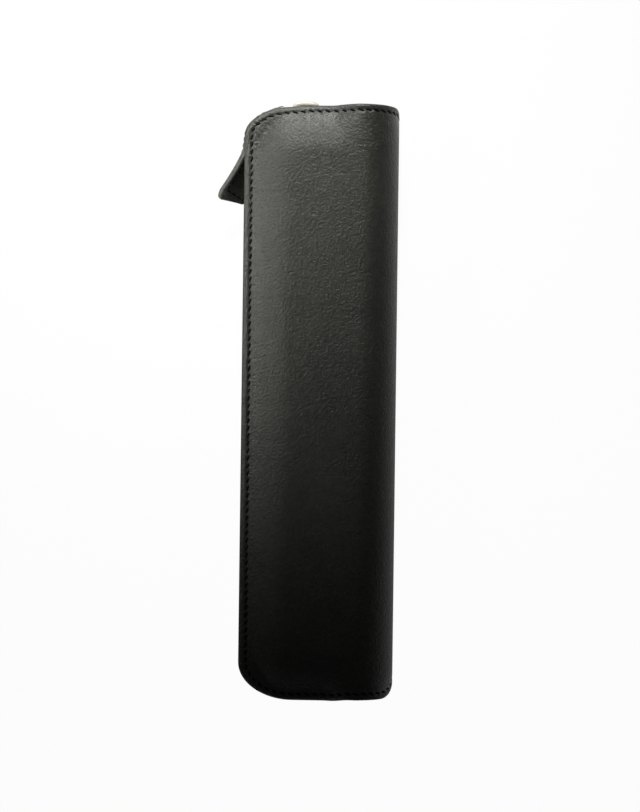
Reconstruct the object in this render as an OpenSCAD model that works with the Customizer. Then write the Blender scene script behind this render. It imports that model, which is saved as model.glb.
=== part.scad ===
// A leather case for one pen, closed by a zip round three of its sides.
// It lies on its back cover: +Z is up through the thickness, +Y points to the
// slider's end and +X to the folded spine. The origin is the centre of the back
// cover's flat resting face.

/* [Case] */
// Length of the leather outline
case_len = 165; // [150:1:185]
// Width from the zip edge to the outside of the spine
case_w = 43.4; // [40:0.2:52]
// Full thickness, which is the diameter of the rounded spine
case_t = 22; // [20:0.5:26]
// Thickness over the two stitched borders
border_t = 15.5; // [15:0.25:17]
// Width of the flat stitched border
border_w = 2.6; // [2.5:0.1:3.2]
// Width over which a panel rises from its border to full height
rise_w = 11; // [10.6:0.2:12]
// How strongly the rise bulges: 1 is a straight slope
rise_power = 1.8; // [1.6:0.1:2.2]
// Corner at the slider's end, along the width
top_corner_w = 14; // [12:0.5:15]
// Corner at the slider's end, along the length
top_corner_h = 8; // [7.5:0.5:10]
// Corner at the far end, along the width
end_corner_w = 15; // [12:0.5:16]
// Corner at the far end, along the length
end_corner_h = 10.5; // [8:0.5:13]
// How far the border at the slider's end stays back behind the spine
top_short = 0.4; // [0:0.1:0.6]
// How far the border at the far end passes the spine
end_long = 0.8; // [0:0.1:1]
// Rounding of the spine's corner at the slider's end
spine_top_r = 1.2; // [1:0.1:3]
// Rounding of the spine's corner at the far end
spine_end_r = 3.3; // [1:0.1:4]

/* [Leather] */
// Thickness of the outer leather
cover_thk = 1.4; // [1:0.1:1.6]
// Thickness of the stiffener between leather and lining
padding_thk = 0.8; // [0.5:0.1:1]
// Thickness of the lining
lining_thk = 0.8; // [0.5:0.1:1]
// Distance from the leather's edge to the stiffener
padding_inset = 5.5; // [5.4:0.1:6]

/* [Zip] */
// Distance from the leather's edge to the middle of the upright tape
tape_inset = 2.5; // [2.3:0.1:2.6]
// Thickness of the tape
tape_thk = 0.5; // [0.4:0.1:0.7]
// How far the tape reaches in under the border
tape_reach = 5; // [4.6:0.1:5.2]
// Gap between the two tapes' edges
tape_gap = 2.8; // [2.4:0.1:3.2]
// Corner of the zip at the slider's end, along the width
zip_corner_w = 12; // [11:0.5:13]
// Corner of the zip at the slider's end, along the length
zip_corner_h = 8.5; // [8:0.5:10]
// Pitch of the teeth on one tape
tooth_pitch = 2; // [1.8:0.05:2.4]
// Length of one tooth along the tape
tooth_len = 0.8; // [0.6:0.05:0.85]
// Thickness of a tooth across the tape
tooth_thk = 1.8; // [1.4:0.1:1.9]
// How far a tooth's head passes the middle of the zip
tooth_mesh = 0.35; // [0.2:0.05:0.5]
// Length of a tooth's legs over the tape
tooth_leg = 0.9; // [0.6:0.1:1.2]
// Length of a stop along the tape
stop_len = 1.6; // [1.2:0.1:2.2]
// Thickness of the leather pieces over the tapes' ends
zip_end_thk = 1.4; // [1:0.1:1.6]
// How far those pieces stand out past the leather's edge
zip_end_proud = 0.25; // [0:0.05:0.5]

/* [Stitching] */
// Distance from the leather's edge to the seam
seam_inset = 2.1; // [1.7:0.1:2.6]
// Pitch of the stitches
stitch_pitch = 2.2; // [1.8:0.05:2.6]
// Length of one stitch on the leather
stitch_len = 1.5; // [1:0.1:1.7]
// Thickness of the thread
thread_thk = 0.4; // [0.3:0.05:0.6]
// Height of a stitch over the leather
stitch_rise = 0.25; // [0.15:0.05:0.4]

/* [Slider] */
// Middle of the slider, from the edge on the zip's side
slider_in = 17; // [16.5:0.1:17.5]
// Length of the slider
slider_len = 9; // [8:0.5:9.5]
// Width of the slider at its nose
nose_w = 7.4; // [7:0.1:8]
// Width of the slider at its tail
tail_w = 6; // [5.6:0.1:6.6]
// Thickness of the slider's two plates
plate_thk = 0.8; // [0.6:0.05:1]
// Gap between a plate and the teeth
plate_gap = 0.15; // [0.1:0.05:0.25]
// Length of the wedge that parts the teeth
wedge_len = 3; // [2.5:0.1:3.2]
// Width of the wedge at the nose
wedge_w = 2.2; // [1.6:0.1:2.4]
// Length of the crown
crown_len = 8; // [7:0.1:8.4]
// Height of the crown over its plate
crown_h = 3; // [2.8:0.1:3.4]
// Width of the crown
crown_w = 2.2; // [1.8:0.1:2.6]
// Length of the eye under the crown
eye_len = 3.8; // [3.2:0.1:4.2]
// Height of the eye under the crown
eye_h = 1.4; // [1.2:0.1:1.6]

/* [Puller] */
// Diameter of the ring's wire
wire_d = 0.8; // [0.7:0.05:0.9]
// Length of the ring between its two bars
ring_len = 5.9; // [5:0.1:7]
// Inner width of the ring at the crown
ring_crown_w = 3.2; // [3:0.1:4]
// Inner width of the ring at the leather tab
ring_tab_w = 6.8; // [6.6:0.1:8]
// Width of the tab at the ring
tab_root_w = 6.2; // [5.8:0.1:6.4]
// Width of the tab at its tip
tab_tip_w = 8.5; // [7:0.1:9]
// Thickness of the folded tab near the ring
tab_root_thk = 1.5; // [1.4:0.1:1.8]
// Thickness of the folded tab at its tip
tab_thk = 2.2; // [1.8:0.1:2.3]
// Outer diameter of the fold round the ring
fold_d = 1.9; // [1.8:0.05:2]

/* [Pen loop] */
// Inner diameter of the loop
loop_d = 12.6; // [11:0.2:12.6]
// Length of the loop along the pen
loop_len = 16; // [10:1:24]
// Thickness of the elastic
loop_thk = 0.9; // [0.6:0.1:0.9]
// Width of each sewn foot
loop_foot = 2.2; // [2:0.1:2.2]
// Middle of the loop along the case's length
loop_y = 38; // [20:1:45]

/* [Hidden] */

// Places that the driving sizes give
mid_z = case_t / 2;
spine_r = case_t / 2;
left_x = -case_w / 2;
spine_x = case_w / 2 - spine_r;
half_len = case_len / 2;
border_h = border_t / 2;
fold_angle = 45;
dip_fade_x = spine_x - 9;
top_step_x = spine_x - 19;
end_step_x = spine_x - 10;
step_w = 6;
tape_end_x = spine_x - 7;
tape_top_h = border_h - cover_thk;
lining_border_h = tape_top_h - tape_thk;
lining_inset = tape_inset + tape_thk / 2 + end_long + 0.2;
lining_rise_from = tape_reach + end_long + 0.3;
lining_rise_w = border_w + rise_w - lining_rise_from;
lining_depth = cover_thk + padding_thk;
inner_depth = lining_depth + lining_thk;
floor_z = inner_depth;
// The resting face is cut flat this deep into the back cover
rest_cut = 0.15;
hair = 0.03;
// Air left over a padding, whose facets differ a little from the cover's
layer_gap = 0.08;
loop_x = spine_x - loop_d / 2 - loop_thk - loop_foot;
bend_d = wire_d * 1.12;
tip_slant = 1;

web_y = half_len - tape_inset;
tape_edge_h = tape_gap / 2;
slider_x = left_x + slider_in;
teeth_from_x = slider_x + slider_len / 2 - wedge_len - tooth_len / 2 - 0.3;
teeth_to_x = spine_x - 5.7;
stop_x = slider_x + slider_len / 2 + 0.7;
web_end_x = spine_x + 3.3;
zip_end_from_x = tape_end_x + 0.6;
zip_end_to_x = spine_x + 5.3;
zip_end_y = half_len + zip_end_proud - zip_end_thk;

plate_in = tooth_thk / 2 + plate_gap;
plate_out = plate_in + plate_thk;
plate_y = web_y + plate_out;
crown_bar = [slider_x - 1, plate_y + eye_h / 2 + 0.02];
tab_bar = [crown_bar[0] - ring_len, plate_y + 0.3];

// Length at each end of a panel where the rows lie closer together
end_zone = 25;
// Columns across a panel, as distances from its left edge
corner_steps = [0, 0.25, 0.9, 2];
rise_steps = [0, 0.14, 0.3, 0.5, 0.73, 1];
fade_steps = 6;
arc_steps = 4;
corner_n = 12;
mid_rows = 5;

// Route of the tab's middle, which starts at the ring, follows the teeth round
// the corner and leans out beside the case. Each point is [x, y, z, lean in
// degrees], from the case's corner at the slider's end and half its thickness.
tab_route = [
    [7.5, -1.05, -0.4, 0], [4.8, -2.2, -1, 0], [2.7, -3.75, -1.5, 0],
    [0.9, -6.2, -1.8, 0], [0.35, -9.1, -2, 0], [0.25, -12.3, -2.05, 8],
    [-0.5, -15.5, -2, 19], [-1.4, -18.65, -2.1, 32], [-2.6, -21.7, -2.6, 44],
    [-3.8, -24.1, -3.7, 54]
];
tab_points = concat(
    [[tab_bar[0], tab_bar[1], mid_z, 0]],
    [for (p = tab_route) [left_x + p[0], half_len + p[1], mid_z + p[2], p[3]]]
);

function smooth(t) = let (s = min(1, max(0, t))) s * s * (3 - 2 * s);
function unit(v) = v / norm(v);
function flip(list) = [for (i = [len(list) - 1:-1:0]) list[i]];
function total(list, n) = n <= 0 ? 0 : list[n - 1] + total(list, n - 1);

// How far a column at x reaches along Y, for an outline drawn in by inset
function reach(x, inset, corner_w, corner_h) =
    let (u = max(0, (left_x + corner_w - x) / (corner_w - inset)))
    half_len - inset - (corner_h - inset) * (1 - sqrt(max(0, 1 - u * u)));
// The borders at the two ends step a little out of line with the spine's ends
function step_in(x, from_x) = 1 - smooth((x - from_x) / step_w);
function top_reach(x, inset) =
    reach(x, inset, top_corner_w, top_corner_h) - top_short * step_in(x, top_step_x);
function end_reach(x, inset) =
    -reach(x, inset, end_corner_w, end_corner_h) - end_long * step_in(x, end_step_x);

// 0 on the border and 1 at full height, as a soft bulge; the ends' dip fades out
// at the spine
function fade(x, from_x) = 1 - smooth((x - from_x) / (spine_x - from_x));
function short_of(d, from, width) = max(0, 1 - (d - from) / width);
function fullness(x, y, from, width, fade_x) =
    let (side = short_of(x - left_x, from, width))
    let (top = short_of(top_reach(x, 0) - y, from, width))
    let (end = short_of(y - end_reach(x, 0), from, width))
    let (f = fade(x, fade_x))
    1 - (1 - f) * pow(min(1, side), rise_power)
      - f * pow(min(1, norm([side, max(top, end)])), rise_power);
function cover_h(x, y) =
    border_h + (spine_r - border_h) * fullness(x, y, border_w, rise_w, dip_fade_x);
function lining_h(x, y) =
    lining_border_h + (spine_r - lining_depth - lining_border_h)
    * fullness(x, y, lining_rise_from, lining_rise_w, tape_end_x);

// Stations across a panel: flat ones as [x, -1], arc ones as [x, angle]
function stations(inset, from, width) = concat(
    [for (s = corner_steps) [left_x + inset + s, -1]],
    [for (t = rise_steps) if (from + t * width > inset + 2.15)
        [left_x + from + t * width, -1]],
    [[(left_x + from + width + dip_fade_x) / 2, -1]],
    [for (k = [0:fade_steps])
        [dip_fade_x + k * (spine_x - dip_fade_x) / fade_steps, -1]],
    [for (k = [1:arc_steps])
        [spine_x, 90 - k * (90 - fold_angle) / arc_steps]]
);

// Rows along one station, closer together at the two ends
function rows(x, inset, from, width) =
    let (top = top_reach(x, inset), end = end_reach(x, inset))
    let (steps = concat([0], [for (t = rise_steps) if (from + t * width > inset)
        from + t * width - inset]))
    let (far = half_len - end_zone)
    concat(
        [for (e = steps) end + e],
        [for (k = [0:mid_rows - 1]) -far + 2 * far * k / (mid_rows - 1)],
        flip([for (e = steps) top - e])
    );

function panel_point(s, y, h, depth) = s[1] < 0
    ? [s[0], y, mid_z + h - depth]
    : [s[0] + (spine_r - depth) * cos(s[1]), y,
       mid_z + (spine_r - depth) * sin(s[1])];

// A closed slab between two grids of points with the same rows and columns
module slab(outer, inner) {
    cols = len(outer);
    count = len(outer[0]);
    size = cols * count;
    function at(side, i, j) = side * size + i * count + j;
    function quad(a, b, c, d) = [[a, b, c], [a, c, d]];
    polyhedron(
        points = concat([for (c = outer) each c], [for (c = inner) each c]),
        faces = concat(
            [for (i = [0:cols - 2], j = [0:count - 2])
                each quad(at(0, i, j), at(0, i, j + 1), at(0, i + 1, j + 1), at(0, i + 1, j))],
            [for (i = [0:cols - 2], j = [0:count - 2])
                each quad(at(1, i, j), at(1, i + 1, j), at(1, i + 1, j + 1), at(1, i, j + 1))],
            [for (i = [0:cols - 2])
                each quad(at(0, i, 0), at(0, i + 1, 0), at(1, i + 1, 0), at(1, i, 0))],
            [for (i = [0:cols - 2])
                each quad(at(0, i, count - 1), at(1, i, count - 1),
                          at(1, i + 1, count - 1), at(0, i + 1, count - 1))],
            [for (j = [0:count - 2])
                each quad(at(0, 0, j), at(1, 0, j), at(1, 0, j + 1), at(0, 0, j + 1))],
            [for (j = [0:count - 2])
                each quad(at(0, cols - 1, j), at(0, cols - 1, j + 1),
                          at(1, cols - 1, j + 1), at(1, cols - 1, j))]
        )
    );
}

// One layer of a panel, from the border's edge to the fold line on the spine
module cover_layer(inset, depth, thk, from, width, proud = 0) {
    list = stations(inset, from, width);
    function grid(d, extra) = [for (s = list)
        [for (y = rows(s[0], inset, from, width))
            panel_point(s, y, cover_h(s[0], y)
                + extra * fullness(s[0], y, from, width, spine_x - 1) * fade(s[0], 0), d)]];
    slab(grid(depth, proud), grid(depth + thk, 0));
}

module lining_layer() {
    list = stations(lining_inset, lining_rise_from, lining_rise_w);
    function grid(d) = [for (s = list)
        [for (y = rows(s[0], lining_inset, lining_rise_from, lining_rise_w))
            panel_point(s, y, s[1] < 0 ? lining_h(s[0], y) : 0,
                        s[1] < 0 ? d : lining_depth + d)]];
    slab(grid(0), grid(lining_thk));
}

// The same shape on the other side of the zip's middle plane
module other_half() {
    translate([0, 0, 2 * mid_z])
        mirror([0, 0, 1])
            children();
}

// A shape drawn in X and Z, between two places along Y
module along_y(from, to) {
    translate([0, to, 0])
        rotate([90, 0, 0])
            linear_extrude(to - from)
                children();
}

// The outline from the spine's top end round the zip side to its far end
function corner(x, y, w, h, from) = [for (k = [0:corner_n])
    let (a = from + 90 * k / corner_n) [x + w * cos(a), y + h * sin(a)]];
function zip_path(inset, to_x) = concat(
    [[to_x, half_len - inset]],
    corner(left_x + zip_corner_w, half_len - zip_corner_h,
           zip_corner_w - inset, zip_corner_h - inset, 90),
    corner(left_x + end_corner_w, -half_len + end_corner_h,
           end_corner_w - inset, end_corner_h - inset, 180),
    [[to_x, -half_len + inset]]
);

// Points along that outline at a steady pitch, as [x, y, direction]
function spans(path) = [for (i = [0:len(path) - 2]) norm(path[i + 1] - path[i])];
function walk(path, gaps, s, i = 0) =
    s <= gaps[i] || i == len(gaps) - 1
    ? let (d = unit(path[i + 1] - path[i]))
      [path[i][0] + d[0] * s, path[i][1] + d[1] * s, atan2(d[1], d[0])]
    : walk(path, gaps, s - gaps[i], i + 1);

module back_cover() {
    color([0.06, 0.06, 0.055])
        difference() {
            other_half()
                cover_layer(0, 0, cover_thk, border_w, rise_w, rest_cut);
            translate([-case_w, -case_len, -10])
                cube([2 * case_w, 2 * case_len, 10]);
        }
}

module front_cover() {
    color([0.06, 0.06, 0.055])
        cover_layer(0, 0, cover_thk, border_w, rise_w);
}

module padding() {
    cover_layer(padding_inset, cover_thk + layer_gap, padding_thk - layer_gap, border_w, rise_w);
}

module back_padding() {
    color([0.45, 0.42, 0.38])
        other_half()
            padding();
}

module front_padding() {
    color([0.45, 0.42, 0.38])
        padding();
}

module back_lining() {
    color([0.12, 0.12, 0.12])
        other_half()
            lining_layer();
}

module front_lining() {
    color([0.12, 0.12, 0.12])
        lining_layer();
}

// A strip of the spine between the two fold lines
module spine_layer(depth, thk, inset) {
    outer = spine_r - depth;
    steps = 2 * arc_steps;
    angles = [for (k = [0:steps]) -fold_angle + 2 * fold_angle * k / steps];
    along_y(-half_len + inset, half_len - inset)
        polygon(concat(
            [for (a = angles) [spine_x + outer * cos(a), mid_z + outer * sin(a)]],
            flip([for (a = angles)
                [spine_x + (outer - thk) * cos(a), mid_z + (outer - thk) * sin(a)]])
        ));
}

module spine_cover() {
    color([0.06, 0.06, 0.055])
        intersection() {
            spine_layer(0, cover_thk, 0);
            union() {
                translate([0, -half_len + spine_end_r, -1])
                    cube([case_w, case_len - spine_end_r - spine_top_r, case_t + 2]);
                translate([0, -half_len, -1])
                    cube([case_w / 2 - spine_end_r, case_len, case_t + 2]);
                translate([case_w / 2 - spine_end_r, -half_len + spine_end_r, -1])
                    cylinder(r = spine_end_r, h = case_t + 2, $fn = 48);
                translate([case_w / 2 - spine_top_r, half_len - spine_top_r, -1])
                    cylinder(r = spine_top_r, h = case_t + 2, $fn = 48);
                translate([case_w / 2 - spine_end_r, half_len - spine_top_r, -1])
                    cube([spine_end_r - spine_top_r, spine_top_r, case_t + 2]);
            }
        }
}

module spine_padding() {
    color([0.45, 0.42, 0.38])
        spine_layer(cover_thk, padding_thk, padding_inset);
}

module spine_lining() {
    color([0.12, 0.12, 0.12])
        spine_layer(lining_depth, lining_thk, lining_inset);
}

// The underside of the cover along the border near the spine, in X and Z
function cover_under(x) = mid_z + cover_h(x, half_len) - cover_thk;

// One tape: a flange under the border and an upright wall beside the teeth
module tape() {
    outer = tape_inset - tape_thk / 2;
    inner = tape_inset + tape_thk / 2;
    xs = [for (k = [0:5]) dip_fade_x + (web_end_x - dip_fade_x) * k / 5];
    translate([0, 0, mid_z + lining_border_h])
        linear_extrude(tape_thk)
            polygon(concat(zip_path(outer, tape_end_x), flip(zip_path(tape_reach, tape_end_x))));
    translate([0, 0, mid_z + tape_edge_h])
        linear_extrude(lining_border_h - tape_edge_h + tape_thk / 2)
            polygon(concat(zip_path(outer, tape_end_x), flip(zip_path(inner, tape_end_x))));
    for (side = [0, 1])
        mirror([0, side, 0])
            along_y(web_y - tape_thk / 2, web_y + tape_thk / 2)
                polygon(concat(
                    [[xs[0] - 1, mid_z + tape_edge_h]],
                    [[web_end_x, mid_z + tape_edge_h]],
                    flip([for (x = xs) [x, min(cover_under(min(x, spine_x)) - 0.05,
                        mid_z + sqrt(pow(spine_r - inner_depth - 0.5, 2)
                        - pow(max(0, x - spine_x), 2)))]]),
                    [[xs[0] - 1, mid_z + tape_top_h]]
                ));
}

module back_tape() {
    color([0.05, 0.05, 0.05])
        other_half()
            tape();
}

module front_tape() {
    color([0.05, 0.05, 0.05])
        tape();
}

// One tooth in its own frame: X along the tape, Z towards the tape's edge
module tooth() {
    half = tooth_thk / 2;
    slot = tape_thk / 2 + 0.06;
    head = tape_edge_h - 0.02;
    translate([-tooth_len / 2, 0, 0])
        rotate([90, 0, 90])
            linear_extrude(tooth_len)
                polygon([
                    [-half, tape_edge_h + tooth_leg], [-half, 0.2], [-half * 0.6, -tooth_mesh],
                    [half * 0.6, -tooth_mesh], [half, 0.2], [half, tape_edge_h + tooth_leg],
                    [slot, tape_edge_h + tooth_leg], [slot, head],
                    [-slot, head], [-slot, tape_edge_h + tooth_leg]
                ]);
}

// A row of teeth; the other row is shifted by half a pitch
module teeth(shift) {
    path = zip_path(tape_inset, teeth_from_x);
    gaps = spans(path);
    length = total(gaps, len(gaps)) + teeth_to_x - teeth_from_x;
    count = floor((length - shift) / tooth_pitch);
    for (k = [0:count - 1]) {
        p = walk(path, gaps, shift + k * tooth_pitch);
        translate([p[0], p[1], mid_z])
            rotate([0, 0, p[2]])
                tooth();
    }
}

module back_teeth() {
    color([0.62, 0.6, 0.55])
        other_half()
            teeth(0.5 * tooth_pitch);
}

module front_teeth() {
    color([0.62, 0.6, 0.55])
        teeth(0);
}

// A metal clip over the edge of one tape, past the slider's nose
module top_stop() {
    slot = tape_thk / 2 + 0.06;
    half = tooth_thk / 2;
    translate([stop_x, web_y, mid_z])
        rotate([90, 0, 90])
            linear_extrude(stop_len)
                polygon([
                    [-half, tape_edge_h + tooth_leg], [-half, tape_edge_h - 0.5],
                    [half, tape_edge_h - 0.5], [half, tape_edge_h + tooth_leg],
                    [slot, tape_edge_h + tooth_leg], [slot, tape_edge_h - 0.02],
                    [-slot, tape_edge_h - 0.02], [-slot, tape_edge_h + tooth_leg]
                ]);
}

module back_top_stop() {
    color([0.62, 0.6, 0.55])
        other_half()
            top_stop();
}

module front_top_stop() {
    color([0.62, 0.6, 0.55])
        top_stop();
}

// The box that holds the teeth's far end: open upwards for the front tape
module bottom_stop() {
    slot = tape_thk / 2 + 0.06;
    half = tooth_thk / 2;
    high = tape_edge_h + tooth_leg;
    color([0.62, 0.6, 0.55])
        translate([teeth_to_x + 1, -web_y, mid_z])
            rotate([90, 0, 90])
                linear_extrude(2 * stop_len)
                    difference() {
                        translate([-half, -high])
                            square([2 * half, 2 * high]);
                        translate([-slot, tape_edge_h - 0.1])
                            square([2 * slot, high]);
                        translate([-slot, -high - 1])
                            square([2 * slot, high + 1 - tape_edge_h + 0.02]);
                    }
}

// A leather piece over the ends of one tape, at both ends of the spine
module zip_ends() {
    xs = [for (k = [0:5]) zip_end_from_x + (zip_end_to_x - zip_end_from_x) * k / 5];
    for (side = [0, 1])
        mirror([0, side, 0])
            along_y(zip_end_y, half_len + zip_end_proud)
                polygon(concat(
                    [[zip_end_from_x, mid_z + 0.15], [zip_end_to_x, mid_z + 0.15]],
                    flip([for (x = xs) [x, min(cover_under(min(x, spine_x)) - 0.15,
                        mid_z + sqrt(pow(spine_r - cover_thk - 0.15, 2)
                        - pow(max(0, x - spine_x), 2)))]])
                ));
}

module back_zip_ends() {
    color([0.06, 0.06, 0.055])
        other_half()
            zip_ends();
}

module front_zip_ends() {
    color([0.06, 0.06, 0.055])
        zip_ends();
}

// One stitch lying along X on a surface whose outside is +Z
module stitch(length = stitch_len) {
    translate([-length / 2, -thread_thk / 2, hair])
        cube([length, thread_thk, stitch_rise]);
}

// The seam round the zip side of one panel. Stitches that would stand out past
// the height top are left out, because there they are pressed into the leather.
module panel_seam(top) {
    path = [for (p = zip_path(seam_inset, dip_fade_x)) p[1] > 0 ? p : p - [0, end_long]];
    gaps = spans(path);
    count = floor(total(gaps, len(gaps)) / stitch_pitch);
    for (k = [0:count - 1]) {
        p = walk(path, gaps, (k + 0.5) * stitch_pitch);
        translate([p[0], p[1], mid_z + border_h])
            rotate([0, 0, p[2]])
                stitch();
    }
    // The seam goes on over the rise to the spine and round to the fold line
    rise_n = floor((spine_x - dip_fade_x) / stitch_pitch);
    step = (spine_x - dip_fade_x) / rise_n;
    for (side = [-1, 1], k = [0:rise_n - 1]) {
        x = dip_fade_x + (k + 0.5) * step;
        y = side > 0 ? top_reach(x, 0) - seam_inset : end_reach(x, 0) + seam_inset;
        a = cover_h(x - step / 2, y);
        b = cover_h(x + step / 2, y);
        if (mid_z + (a + b) / 2 + 0.15 + stitch_rise + hair < top)
            translate([x, y, mid_z + (a + b) / 2 + 0.12])
                rotate([0, -atan2(b - a, step), 0])
                    stitch(stitch_len * 0.8);
    }
    spine_seam(90 - fold_angle, 90, top);
}

// How far the spine reaches along Y at x, with its corner rounded by r
function spine_reach(x, r) =
    let (u = max(0, x - case_w / 2 + r))
    half_len - r + sqrt(max(0, r * r - u * u));

// Stitches round the spine between two angles, at both of its ends
module spine_seam(from, to, top) {
    count = max(1, floor(spine_r * (to - from) * PI / 180 / stitch_pitch));
    step = (to - from) / count;
    for (side = [-1, 1], k = [0:count - 1]) {
        a = from + (k + 0.5) * step;
        x = spine_x + spine_r * cos(a);
        y = spine_reach(x, side > 0 ? spine_top_r : spine_end_r) - seam_inset;
        if (mid_z + (spine_r + stitch_rise + hair) * sin(a) + 0.15 < top)
            translate([spine_x, side * y, mid_z])
                rotate([0, 90 - a, 0])
                    translate([0, 0, spine_r])
                        stitch(stitch_len * 0.8);
    }
}

module back_stitching() {
    color([0.02, 0.02, 0.02])
        other_half()
            panel_seam(case_t);
}

module front_stitching() {
    color([0.02, 0.02, 0.02])
        panel_seam(case_t + 1);
}

module spine_stitching() {
    color([0.02, 0.02, 0.02])
        spine_seam(-fold_angle, fold_angle, case_t);
}

// The elastic: an arch over the pen with a sewn foot on each side
module pen_loop() {
    r = loop_d / 2;
    outer = r + loop_thk;
    foot = outer + loop_foot;
    n = 24;
    color([0.08, 0.08, 0.08])
        translate([loop_x, 0, floor_z])
            along_y(loop_y - loop_len / 2, loop_y + loop_len / 2)
                polygon(concat(
                    [[foot, 0], [foot, loop_thk], [outer, loop_thk]],
                    [for (k = [0:n]) [outer * cos(180 * k / n), r + outer * sin(180 * k / n)]],
                    [[-outer, loop_thk], [-foot, loop_thk], [-foot, 0], [-r, 0]],
                    [for (k = [n:-1:0]) [r * cos(180 * k / n), r + r * sin(180 * k / n)]],
                    [[r, 0]]
                ));
}

module pen_loop_stitching() {
    out = loop_d / 2 + loop_thk + loop_foot / 2;
    count = floor((loop_len - 2) / stitch_pitch);
    color([0.02, 0.02, 0.02])
        for (side = [-1, 1], k = [0:count - 1])
            translate([loop_x + side * out, loop_y + (k - (count - 1) / 2) * stitch_pitch,
                       floor_z + loop_thk])
                rotate([0, 0, 90])
                    stitch();
}

// The slider's plates, its lips over the back tape and its wedge
module slider_body() {
    tail = slider_x - slider_len / 2;
    nose = slider_x + slider_len / 2;
    lip_gap = tape_thk / 2 + 0.2;
    lip_w = 0.55;
    low = -nose_w / 2;
    color([0.72, 0.7, 0.65])
        translate([0, 0, mid_z]) {
            for (side = [-1, 1]) {
                along_y(web_y + min(side * plate_in, side * plate_out),
                        web_y + max(side * plate_in, side * plate_out))
                    polygon([
                        [tail + 0.8, -tail_w / 2], [nose - 2.6, -tail_w / 2], [nose - 1.4, low],
                        [nose, low + 0.9], [nose, -low - 0.9], [nose - 1.4, -low],
                        [nose - 2.6, tail_w / 2], [tail + 0.8, tail_w / 2],
                        [tail, tail_w / 2 - 0.8], [tail, -tail_w / 2 + 0.8]
                    ]);
                along_y(web_y + min(side * lip_gap, side * (plate_in + 0.1)),
                        web_y + max(side * lip_gap, side * (plate_in + 0.1)))
                    polygon([
                        [tail + 0.8, -tail_w / 2], [nose - 2.6, -tail_w / 2], [nose - 1.4, low],
                        [nose - 1.4, low + lip_w], [nose - 2.6, -tail_w / 2 + lip_w],
                        [tail + 0.8, -tail_w / 2 + lip_w]
                    ]);
            }
            along_y(web_y - plate_in - 0.1, web_y + plate_in + 0.1)
                polygon([
                    [nose - wedge_len, 0], [nose - 0.9, -wedge_w / 2],
                    [nose, 0], [nose - 0.9, wedge_w / 2]
                ]);
        }
}

// The arched crown over the outer plate, with its eye for the ring
module slider_crown() {
    n = 16;
    top = [for (k = [0:n]) let (a = 180 * k / n)
        [slider_x + crown_len / 2 * cos(a), plate_y + crown_h * pow(sin(a), 0.5)]];
    eye = [for (k = [0:n]) let (a = 180 * k / n)
        [slider_x + eye_len / 2 * cos(a), plate_y + eye_h * pow(sin(a), 0.5)]];
    color([0.75, 0.73, 0.67])
        translate([0, 0, mid_z - crown_w / 2])
            linear_extrude(crown_w)
                polygon(concat(top, flip(eye)));
}

// A round wire between two points, with a slightly fuller bend at its start
module wire(p, q) {
    d = q - p;
    translate(p)
        sphere(d = bend_d, $fn = 24);
    translate(p)
        rotate([0, acos(d[2] / norm(d)), atan2(d[1], d[0])])
            cylinder(d = wire_d, h = norm(d), $fn = 24);
}

module pull_ring() {
    near = (ring_crown_w + wire_d) / 2;
    far = (ring_tab_w + wire_d) / 2;
    a = [crown_bar[0], crown_bar[1], mid_z - near];
    b = [crown_bar[0], crown_bar[1], mid_z + near];
    c = [tab_bar[0], tab_bar[1], mid_z + far];
    d = [tab_bar[0], tab_bar[1], mid_z - far];
    color([0.75, 0.73, 0.67]) {
        wire(a, b);
        wire(b, c);
        wire(c, d);
        wire(d, a);
    }
}

// The tab's middle line starts at the ring's far bar and runs smoothly through
// the points of its route, with one more section between each two of them
function tab_point(i) = tab_points[min(max(i, 0), len(tab_points) - 1)];
function between(i) =
    (9 * (tab_point(i) + tab_point(i + 1)) - tab_point(i - 1) - tab_point(i + 2)) / 16;
tab_line = [for (i = [0:2 * len(tab_points) - 2])
    i % 2 == 0 ? tab_point(i / 2) : between((i - 1) / 2)];

// Cross-section of the tab at a point of its route, w wide and t thick,
// moved along its width and its thickness by du and dv
function tab_dir(i) =
    let (a = tab_line[max(0, i - 1)], b = tab_line[min(len(tab_line) - 1, i + 1)])
    unit([b[0] - a[0], b[1] - a[1]]);
function tab_at(i, u, v) =
    let (p = tab_line[i], d = tab_dir(i), lean = p[3])
    let (out = [d[1], -d[0]])
    let (up = [out[0] * sin(lean), out[1] * sin(lean), cos(lean)])
    let (face = [out[0] * cos(lean), out[1] * cos(lean), -sin(lean)])
    [p[0], p[1], p[2]] + u * up + v * face;
function tab_w(i) = tab_root_w + (tab_tip_w - tab_root_w) * i / (len(tab_line) - 1);
function tab_t(i) = i == 0 ? fold_d * 0.96
    : tab_root_thk + (tab_thk - tab_root_thk) * pow(i / (len(tab_line) - 1), 3);

module tab_sweep() {
    n = len(tab_line);
    outer = [for (i = [0:n - 1]) [for (u = [-0.5, 0.5]) tab_at(i, u * tab_w(i), tab_t(i) / 2)]];
    inner = [for (i = [0:n - 1]) [for (u = [-0.5, 0.5]) tab_at(i, u * tab_w(i), -tab_t(i) / 2)]];
    // the rounded tip is two more steps past the last section, cut at a slant
    d = tab_dir(n - 1);
    function tip(side, step, w) = [for (u = [-0.5, 0.5])
        let (s = step * (1 + tip_slant * u))
        tab_at(n - 1, u * w, side * tab_thk / 2) + [d[0] * s, d[1] * s, -0.1 * s]];
    slab(
        concat(outer, [tip(1, 1, tab_tip_w - 0.3)], [tip(1, 1.7, tab_tip_w - 1.8)]),
        concat(inner, [tip(-1, 1, tab_tip_w - 0.3)], [tip(-1, 1.7, tab_tip_w - 1.8)])
    );
}

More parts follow.
